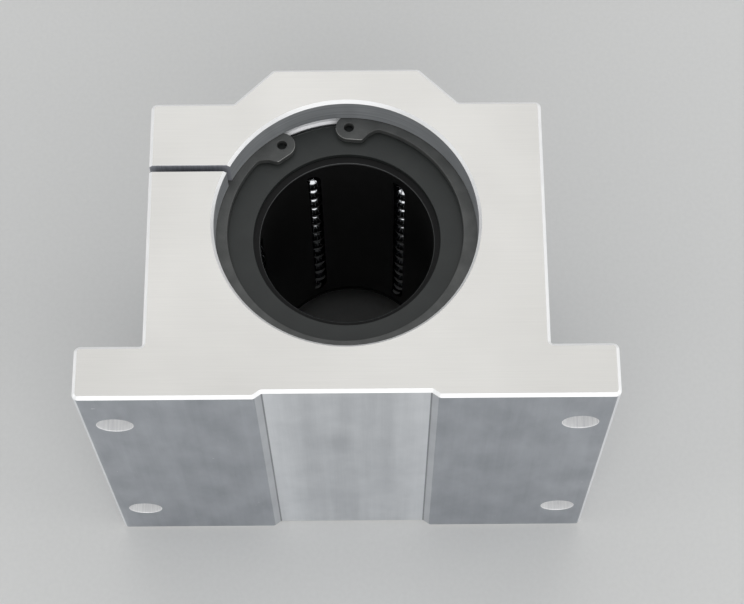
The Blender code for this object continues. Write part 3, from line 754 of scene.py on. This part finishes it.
def add_housing():
    """The one-piece housing with its bore, slot and holes."""
    milled = milled_aluminium()
    edges = chamfered_aluminium()
    # The sides' darker tone is painted shade: it stands in for the dark surroundings they reflect.
    side = extruded_aluminium("extruded_painted_shade", (0.355, 0.375, 0.41), (0.505, 0.53, 0.57), 0.38)
    # The ramps' lighter tone is painted light, for the light the sloped ramps catch.
    ramp = extruded_aluminium("relief_ramp_painted_light", (0.54, 0.555, 0.585), (0.68, 0.70, 0.73), 0.36)
    # The root fillets' dark tone is painted shade in the crease between ramp and floor.
    root = extruded_aluminium("relief_root_painted_shade", (0.27, 0.28, 0.30), (0.38, 0.39, 0.41), 0.45)
    # The foot's outer corner rounding is painted lighter: a painted highlight along the flange.
    corner = extruded_aluminium(
        "foot_corner_painted_highlight", (0.66, 0.67, 0.69), (0.80, 0.81, 0.83), 0.42, metallic=0.4
    )
    drilled = drilled_aluminium()

    rims = softened_ends(0, LENGTH, END_CHAMFER, EDGE_BREAK)
    finishes = [milled, edges, side, relief_aluminium(), ramp, root, corner]
    block = prism("housing_block", [housing_outline()], rims, finishes)
    paint_housing(block)

    bore_finishes = [bored_aluminium(), edges, grooved_aluminium()]
    bore = turned("bore", bore_profile(), BORE_SEGMENTS, bore_finishes)
    paint_bore(bore)
    cutters = [place(bore, Matrix.Translation(AXIS))]
    for x in (-BOLT_X, BOLT_X):
        for end in (-1, 1):
            rims = flared_rims(0, FLANGE_THICKNESS, BOLT_CHAMFER)
            hole = prism("bolt_hole", [circle((0, 0), BOLT_RADIUS, BOLT_SEGMENTS)], rims, [drilled])
            centre = Vector((x, FOOT_Y, MID_Z + end * BOLT_SPACING_Z / 2))
            cutters.append(place(hole, along_y(centre)))
    rims = flared_rims(0, LENGTH, SLOT_CHAMFER)
    slot = prism("slot", [slot_outline()], rims, [sawn_aluminium()])
    cutters.append(place(slot, Matrix.Translation((0, AXIS.y + SLOT_ABOVE_AXIS, 0))))
    screw_hole = turned("screw_hole", screw_hole_profile(), SCREW_SEGMENTS, [drilled])
    cutters.append(place(screw_hole, along_y(SCREW_SEAT)))
    add_piece("housing", cut("housing_fine", block, cutters))


# --------------------------------------------------------- adjusting screw


def screw_radius(radius, z, angle, knurled):
    """The screw's radius at a height and an angle, with knurls and thread."""
    if knurled:
        return radius - KNURL_DEPTH * (0.5 + 0.5 * cos(KNURLS * angle))
    if z < -PLAIN_SHANK and radius == SHANK_RADIUS:
        phase = (z / THREAD_PITCH - angle / (2 * pi)) % 1
        groove = THREAD_DEPTH * (1 - abs(2 * phase - 1))
        runout = min(1, (-PLAIN_SHANK - z) / THREAD_PITCH, (z + SHANK_LENGTH) / THREAD_PITCH)
        return radius - groove * max(0, runout)
    return radius


def add_screw():
    """The socket head cap screw across the clamp slot."""
    dark, light = (0.030, 0.031, 0.034), (0.055, 0.056, 0.060)
    black = steel("black_oxide_finish", dark, light, 0.36, 0.2 * MM, 4e-6)
    bottom = SEAT_GAP
    top = SEAT_GAP + HEAD_HEIGHT
    tip = -SHANK_LENGTH
    head = [
        (HEAD_RADIUS - HEAD_CHAMFER, top, False),
        (HEAD_RADIUS - KNURL_DEPTH, top - HEAD_CHAMFER, False),
        (HEAD_RADIUS, top - HEAD_CHAMFER - KNURL_DEPTH, True),
        (HEAD_RADIUS, bottom + 3 * KNURL_DEPTH, True),
        (HEAD_RADIUS - KNURL_DEPTH, bottom + 2 * KNURL_DEPTH, False),
        (HEAD_RADIUS - 2 * KNURL_DEPTH, bottom, False),
        (SHANK_RADIUS + KNURL_DEPTH, bottom, False),
        (SHANK_RADIUS, bottom - KNURL_DEPTH, False),
    ]
    rows = int((SHANK_LENGTH - PLAIN_SHANK - HEAD_CHAMFER) / THREAD_PITCH * THREAD_STEPS)
    step = THREAD_PITCH / THREAD_STEPS
    shank = [(SHANK_RADIUS, -PLAIN_SHANK - i * step, False) for i in range(rows + 1)]
    end = [(SHANK_RADIUS - THREAD_DEPTH, tip, False)]
    turns = [2 * pi * i / SCREW_SEGMENTS for i in range(SCREW_SEGMENTS)]
    rings = []
    for radius, z, knurled in head + shank + end:
        radii = [screw_radius(radius, z, a, knurled) for a in turns]
        rings.append([(r * cos(a), r * sin(a), z) for r, a in zip(radii, turns)])
    shape = bmesh.new()
    skin(shape, rings)
    solid = finish_mesh(shape, "screw_solid", [black])
    rims = [
        (0, top - SOCKET_DEPTH),
        (0, top - SOCKET_CHAMFER),
        (-SOCKET_CHAMFER, top),
        (-SOCKET_CHAMFER - CUT_PAST, top + CUT_PAST),
    ]
    socket = prism("socket", [circle((0, 0), SOCKET_RADIUS, SOCKET_SIDES)], rims, [black])
    mesh = cut("adjusting_screw_fine", solid, [socket])
    place(mesh, along_y(SCREW_SEAT))
    add_piece("adjusting_screw", mesh, "adjusting_screw")


# --------------------------------------------------------- retaining rings


def ring_point(radius, offset, side):
    """A point of the retaining ring, by its angle from the gap's middle."""
    angle = RING_GAP_ANGLE + side * offset
    return (radius * cos(angle), radius * sin(angle))


def ring_inner_edge(offset):
    """The inner edge's radius: a circle shifted towards the gap."""
    across = RING_INNER_SHIFT * sin(offset)
    return RING_INNER_SHIFT * cos(offset) + sqrt(RING_INNER_RADIUS ** 2 - across ** 2)


def lug_outline(side):
    """One lug, from the outer edge round its tip, heel and neck to the inner edge."""
    centre = Vector(ring_point(LUG_HOLE_CENTRE, LUG_HOLE_ANGLE, side))
    outward = centre.normalized()
    to_gap = Vector((outward.y, -outward.x)) * side
    points = [ring_point(RING_OUTER_RADIUS, LUG_START_ANGLE, side)]
    for step in range(LUG_TIP_STEPS + 1):
        turn = LUG_TIP_START + (pi - LUG_TIP_START) * step / LUG_TIP_STEPS
        direction = outward * cos(turn) + to_gap * sin(turn)
        points.append(tuple(centre + LUG_RADIUS * direction))
    heel = ring_point(HEEL_CORNER, HEEL_ANGLE, side)
    neck = ring_point(NECK_CORNER, NECK_ANGLE, side)
    root = ring_point(ring_inner_edge(ROOT_ANGLE), ROOT_ANGLE, side)
    end = ring_point(ring_inner_edge(ROOT_END_ANGLE), ROOT_END_ANGLE, side)
    corners = [
        (*points[-1], 0),
        (*heel, HEEL_ROUNDING),
        (*neck, NECK_ROUNDING),
        (*root, ROOT_ROUNDING),
        (*end, 0),
    ]
    return points + filleted(corners, CORNER_STEPS, closed=False)


def ring_outline():
    """The whole ring, round its outer edge and back along its inner edge."""
    outer_turn = 2 * (pi - LUG_START_ANGLE) / RING_STEPS
    inner_turn = 2 * (pi - ROOT_END_ANGLE) / RING_STEPS
    outer = [
        ring_point(RING_OUTER_RADIUS, LUG_START_ANGLE + i * outer_turn, 1)
        for i in range(1, RING_STEPS)
    ]
    offsets = [ROOT_END_ANGLE + i * inner_turn for i in range(RING_STEPS + 1)]
    inner = [ring_point(ring_inner_edge(a), a, -1) for a in offsets]
    return outer + lug_outline(-1) + inner + list(reversed(lug_outline(1)))


def on_lug_rim(polygon):
    """True on the rounded rims of the lugs, away from their holes."""
    spot = Vector(polygon.center[:2])
    holes = [Vector(ring_point(LUG_HOLE_CENTRE, LUG_HOLE_ANGLE, side)) for side in (-1, 1)]
    near_hole = min((spot - hole).length for hole in holes) < 2 * LUG_HOLE_RADIUS
    offset = spot.angle(Vector(ring_point(1, 0, 1)))
    on_lug = offset < HEEL_ANGLE and spot.length < LUG_HOLE_CENTRE
    least, most = LUG_RIM_SHARES
    return least < abs(polygon.normal.z) < most and on_lug and not near_hole


def add_retaining_rings():
    """A lugged retaining ring in each groove, its lugs' rims lighter: wear and a painted highlight."""
    grain = 0.15 * MM
    dark, light = (0.060, 0.062, 0.060), (0.105, 0.107, 0.104)
    face = steel("phosphated_finish", dark, light, 0.46, grain, 6e-6, metallic=0.4)
    # The lugs' rounded rims: wear plus a painted highlight.
    dark, light = (0.26, 0.26, 0.25), (0.44, 0.44, 0.42)
    wear_and_highlight = steel("lug_rim_wear_and_painted_highlight", dark, light, 0.38, grain, 5e-6, metallic=0.8)
    outlines = [ring_outline()]
    for side in (-1, 1):
        centre = ring_point(LUG_HOLE_CENTRE, LUG_HOLE_ANGLE, side)
        outlines.append(list(reversed(circle(centre, LUG_HOLE_RADIUS, LUG_HOLE_SEGMENTS))))
    for node, turn in (("front_retaining_ring", 0), ("rear_retaining_ring", pi)):
        low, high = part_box(node)
        half = (high.z - low.z) / 2
        mesh = prism(node + "_fine", outlines, rounded_ends(-half, half, RING_EDGE), [face, wear_and_highlight])
        for polygon in mesh.polygons:
            polygon.material_index = 1 if on_lug_rim(polygon) else 0
        spot = Matrix.Translation((AXIS.x, AXIS.y, (low.z + high.z) / 2))
        place(mesh, spot @ Matrix.Rotation(turn, 4, "Y"))
        add_piece(node, mesh)


# ----------------------------------------------------------------- bushing


def circuit_frames():
    """The circuits' frames: x out through the loaded row, z along the bore."""
    turns = [FIRST_CIRCUIT_ANGLE + i * 2 * pi / CIRCUITS for i in range(CIRCUITS)]
    return [Matrix.Translation(AXIS) @ Matrix.Rotation(a, 4, "Z") for a in turns]


def track_frame(circuit):
    """A racetrack's frame: x across it, y along the bore, z out of its plane."""
    outward = Vector((cos(TILT), -sin(TILT), 0))
    turn = Matrix((TRACK_ACROSS, Vector((0, 0, 1)), outward)).transposed().to_4x4()
    middle = Vector((ROW_RADIUS, 0, 0)) + TRACK_ACROSS * TURN_RADIUS
    return circuit @ Matrix.Translation(middle) @ turn


def racetrack(half_width, height):
    """A stadium round the racetrack's middle, at a height over its plane."""
    front = arc((0, TURN_CENTRE_Z), half_width, 0, pi, TURN_STEPS)
    rear = arc((0, -TURN_CENTRE_Z), half_width, pi, 2 * pi, TURN_STEPS)
    return [(x, y, height) for x, y in front + rear]


def channel_mesh(material):
    """The ball channel: a round-bottomed trough that follows the racetrack."""
    bottom = arc((0, 0), CHANNEL_RADIUS, pi, 2 * pi, CHANNEL_STEPS)
    section = bottom + [(CHANNEL_RADIUS, CHANNEL_TOP), (-CHANNEL_RADIUS, CHANNEL_TOP)]
    rings = [racetrack(TURN_RADIUS + across, height) for across, height in section]
    shape = bmesh.new()
    skin(shape, rings, closed=True)
    return finish_mesh(shape, "channel", [material])


def plate_room(name, circuit, low, high, material):
    """A cutter with room for a plate, from low to high along a circuit's x."""
    half_width = PLATE_HALF_WIDTH + PLATE_GAP
    half_length = PLATE_HALF_LENGTH + PLATE_GAP
    corners = [
        (half_width, -half_length, WINDOW_RADIUS),
        (half_width, half_length, WINDOW_RADIUS),
        (-half_width, half_length, WINDOW_RADIUS),
        (-half_width, -half_length, WINDOW_RADIUS),
    ]
    mesh = prism(name, [filleted(corners, CORNER_STEPS)], [(0, low), (0, high)], [material])
    place(mesh, Matrix(((0, 0, 1), (1, 0, 0), (0, 1, 0))).to_4x4())
    return place(mesh, circuit)


def core_tube(name, inner, outer, material):
    """A tube of the bushing's core, its edges softened, round the bore's axis."""
    half = CORE_HALF_LENGTH
    corners = [
        (inner, half, MOULDED_EDGE),
        (inner, -half, MOULDED_EDGE),
        (outer, -half, MOULDED_EDGE),
        (outer, half, MOULDED_EDGE),
    ]
    profile = filleted(corners, EDGE_STEPS)
    tube = turned(name, profile, TURNED_SEGMENTS, [material], closed=True)
    return place(tube, Matrix.Translation(AXIS))


def add_cage(circuits):
    """The cage, with its six ball channels and the seats for the plates."""
    black = polymer("cage_finish", (0.004, 0.004, 0.004), (0.008, 0.008, 0.008), 0.42, 4e-6)
    tube = core_tube("cage_tube", CAGE_INNER_RADIUS, CAGE_OUTER_RADIUS, black)
    low = PLATE_FOOT - PLATE_ROCK_ROOM
    cutters = []
    for circuit in circuits:
        cutters.append(place(channel_mesh(black), track_frame(circuit)))
        cutters.append(plate_room("plate_seat", circuit, low, BUSHING_RADIUS, black))
    add_piece("ball_cage", cut("ball_cage_fine", tube, cutters))


def add_sleeve(circuits):
    """The sleeve round the cage, with a window for each plate."""
    grey = polymer("sleeve_finish", (0.020, 0.021, 0.020), (0.032, 0.033, 0.032), 0.48, 5e-6)
    tube = core_tube("sleeve_tube", SLEEVE_INNER_RADIUS, BUSHING_RADIUS, grey)
    low, high = CAGE_OUTER_RADIUS - CUT_PAST, BUSHING_RADIUS + CUT_PAST
    cutters = [plate_room("window", circuit, low, high, grey) for circuit in circuits]
    add_piece("outer_sleeve", cut("outer_sleeve_fine", tube, cutters))


def plate_outline(drop):
    """A plate's section, its crown lowered by drop; x runs out from the bore's axis."""
    crown_angle = asin(PLATE_HALF_WIDTH / PLATE_CROWN_RADIUS)
    groove_angle = acos((PLATE_FOOT - ROW_RADIUS) / CHANNEL_RADIUS)
    crown = arc((-drop, 0), PLATE_CROWN_RADIUS, -crown_angle, crown_angle, PLATE_ARC_STEPS)
    groove = arc((ROW_RADIUS, 0), CHANNEL_RADIUS, groove_angle, -groove_angle, PLATE_ARC_STEPS)
    return crown + [(PLATE_FOOT, PLATE_HALF_WIDTH)] + groove + [(PLATE_FOOT, -PLATE_HALF_WIDTH)]


def plate_mesh(name, material):
    """A hardened plate, crowned along its length and with rounded ends."""
    half = PLATE_HALF_LENGTH
    stations = rounded_ends(-half, half, PLATE_EDGE)
    ends = len(stations) // 2
    span = 2 * (half - PLATE_EDGE)
    middle = [
        (0, PLATE_EDGE - half + span * i / PLATE_LENGTH_STEPS) for i in range(1, PLATE_LENGTH_STEPS)
    ]
    rings = []
    for depth, z in stations[:ends] + middle + stations[ends:]:
        outline = plate_outline(PLATE_CROWN_DROP * (z / half) ** 2)
        rings.append([(x, y, z) for x, y in inset(outline, depth)])
    shape = bmesh.new()
    skin(shape, rings)
    return finish_mesh(shape, name, [material])


def ball_places(kind):
    """Centres of a group's balls in a circuit's frame."""
    loaded = Vector((ROW_RADIUS, 0, 0))
    if kind in ("loaded", "return"):
        start = loaded if kind == "loaded" else loaded + 2 * TURN_RADIUS * TRACK_ACROSS
        heights = [2 * BALL_RADIUS * i - ROW_HALF_LENGTH for i in range(BALLS_IN_ROW)]
        return [start + Vector((0, 0, z)) for z in heights]
    end = 1 if kind == "front" else -1
    centre = loaded + TURN_RADIUS * TRACK_ACROSS + Vector((0, 0, end * TURN_CENTRE_Z))
    rise = Vector((0, 0, end * TURN_RADIUS * cos(TURN_HALF_ANGLE)))
    return [centre + rise + side * BALL_RADIUS * TRACK_ACROSS for side in (-1, 1)]


def balls_mesh(name, places, fineness, material):
    """Separate balls in one mesh."""
    shape = bmesh.new()
    for spot in places:
        bmesh.ops.create_icosphere(
            shape, subdivisions=fineness, radius=BALL_RADIUS, matrix=Matrix.Translation(spot)
        )
    return finish_mesh(shape, name, [material])


def add_circuit_pieces(circuits):
    """The plate and the four groups of balls of each circuit."""
    ground = steel(
        "ground_steel_finish", (0.46, 0.47, 0.49), (0.58, 0.59, 0.60), 0.22, 0.3 * MM, 2e-6
    )
    polished = steel("polished_ball_finish", (0.50, 0.51, 0.53), (0.58, 0.59, 0.60), 0.05, 1 * MM, 2e-7)
    groups = (
        ("loaded_ball_row", "loaded", SEEN_BALL_FINENESS),
        ("return_ball_row", "return", HIDDEN_BALL_FINENESS),
        ("front_turn_balls", "front", HIDDEN_BALL_FINENESS),
        ("rear_turn_balls", "rear", HIDDEN_BALL_FINENESS),
    )
    for number, circuit in enumerate(circuits, start=1):
        name = f"bearing_plate_{number}"
        mesh = place(plate_mesh(name + "_fine", ground), circuit)
        add_piece(name, mesh, name)
        for label, kind, fineness in groups:
            name = f"{label}_{number}"
            mesh = balls_mesh(name + "_fine", ball_places(kind), fineness, polished)
            add_piece(name, place(mesh, circuit), name)


def add_end_rings():
    """The dished ring at each end of the bushing."""
    grey = polymer("end_ring_finish", (0.013, 0.0155, 0.0145), (0.020, 0.023, 0.0215), 0.50, 6e-6)
    # A thin lighter line on the outer chamfer's edge is a painted highlight.
    painted_highlight = polymer("end_ring_edge_painted_highlight", (0.045, 0.048, 0.047), (0.075, 0.080, 0.078), 0.40, 4e-6)
    face = HALF_LENGTH
    back = CORE_HALF_LENGTH + CORE_GAP
    shelf = face - END_RING_FACE_THICKNESS
    edge = MOULDED_EDGE
    corners = [
        (END_RING_INNER_RADIUS, face, edge),
        (END_RING_INNER_RADIUS, shelf, edge),
        (END_RING_RIM_RADIUS, shelf, edge),
        (END_RING_RIM_RADIUS, back, edge),
        (BUSHING_RADIUS, back, edge),
        (BUSHING_RADIUS, face - END_RING_CHAMFER, edge),
        (BUSHING_RADIUS - END_RING_CHAMFER, face, END_RING_ROUNDING),
    ]
    profile = filleted(corners, END_RING_STEPS)
    least, most = END_RING_EDGE_SHARES
    for node, turn in (("front_end_ring", 0), ("rear_end_ring", pi)):
        mesh = turned(node + "_fine", profile, TURNED_SEGMENTS, [grey, painted_highlight], closed=True)
        # Faces on the outer chamfer's rim get the painted highlight.
        for polygon in mesh.polygons:
            outer = Vector(polygon.center[:2]).length > END_RING_RIM_RADIUS
            polygon.material_index = 1 if outer and least < polygon.normal.z < most else 0
        place(mesh, Matrix.Translation(AXIS) @ Matrix.Rotation(turn, 4, "X"))
        add_piece(node, mesh)


def add_seals():
    """The wiper seal behind each end ring, its lip just clear of the shaft."""
    # The rubber's near-black tone is partly its own colour and partly painted shade for the dark recess
    # in front of the lip.
    rubber = polymer(
        "seal_black_rubber_and_painted_shade", (0.002, 0.002, 0.002), (0.004, 0.004, 0.004), 0.60, 4e-6, Specular_IOR_Level=0.25
    )
    # The lip's lighter rim is a painted highlight.
    painted_highlight = polymer("seal_lip_painted_highlight", (0.050, 0.053, 0.053), (0.085, 0.088, 0.088), 0.34, 2e-6)
    back = CORE_HALF_LENGTH + CORE_GAP
    front = back + SEAL_THICKNESS
    lip = front - SEAL_LIP_SETBACK
    soft = SEAL_LIP_WIDTH / 3
    corners = [
        (END_RING_INNER_RADIUS, front, MOULDED_EDGE),
        (SEAL_LIP_RADIUS, lip, 2 * soft),
        (SEAL_LIP_RADIUS, lip - SEAL_LIP_WIDTH, soft),
        (SEAL_NECK_RADIUS, back, soft),
        (SEAL_OUTER_RADIUS, back, MOULDED_EDGE),
        (SEAL_OUTER_RADIUS, front, MOULDED_EDGE),
    ]
    profile = filleted(corners, EDGE_STEPS)
    for node, turn in (("front_seal", 0), ("rear_seal", pi)):
        mesh = turned(node + "_fine", profile, TURNED_SEGMENTS, [rubber, painted_highlight], closed=True)
        # Faces at the lip get the painted highlight.
        for polygon in mesh.polygons:
            reach = Vector(polygon.center[:2]).length
            polygon.material_index = 1 if reach < SEAL_LIP_RADIUS + SEAL_LIP_WIDTH else 0
        place(mesh, Matrix.Translation(AXIS) @ Matrix.Rotation(turn, 4, "X"))
        add_piece(node, mesh)


# ------------------------------------------------------- floor, light, view


def add_floor():
    """A plain pale floor under the rear end face."""
    shape = bmesh.new()
    bmesh.ops.create_grid(shape, x_segments=1, y_segments=1, size=FLOOR_HALF_SIZE)
    mesh = finish_mesh(shape, "floor", [floor_paper()], smooth=False)
    floor = bpy.data.objects.new("floor", mesh)
    bpy.context.scene.collection.objects.link(floor)


def add_softbox(name, place_at, size, power):
    """A square area light that faces the housing."""
    light = bpy.data.lights.new(name, "AREA")
    light.shape = "SQUARE"
    light.size = size
    light.energy = power
    lamp = bpy.data.objects.new(name, light)
    bpy.context.scene.collection.objects.link(lamp)
    lamp.visible_camera = False
    lamp.location = place_at
    lamp.rotation_euler = (Vector(place_at) - AXIS).to_track_quat("Z", "Y").to_euler()


def add_lights():
    """A pale room with soft boxes overhead, in front and low on both sides."""
    world = bpy.data.worlds.new("studio")
    bpy.context.scene.world = world
    world.use_nodes = True
    background = world.node_tree.nodes["Background"]
    background.inputs["Color"].default_value = ROOM_COLOUR
    background.inputs["Strength"].default_value = ROOM_STRENGTH
    for name, place_at, size, power in SOFTBOXES:
        add_softbox(name, place_at, size, power)


def add_camera():
    """Above the front end face on the mounting face's side, looking down on it."""
    data = bpy.data.cameras.new("camera")
    data.sensor_width = SENSOR_WIDTH_MM
    data.lens = LENS_MM
    data.clip_start = CAMERA_NEAR
    camera = bpy.data.objects.new("camera", data)
    bpy.context.scene.collection.objects.link(camera)
    camera.location = CAMERA_PLACE
    camera.rotation_euler = CAMERA_TURN
    bpy.context.scene.camera = camera


add_camera()
add_floor()
add_lights()
CIRCUIT_FRAMES = circuit_frames()
add_housing()
add_screw()
add_retaining_rings()
add_sleeve(CIRCUIT_FRAMES)
add_cage(CIRCUIT_FRAMES)
add_circuit_pieces(CIRCUIT_FRAMES)
add_end_rings()
add_seals()
bpy.context.scene.view_settings.view_transform = "Standard"
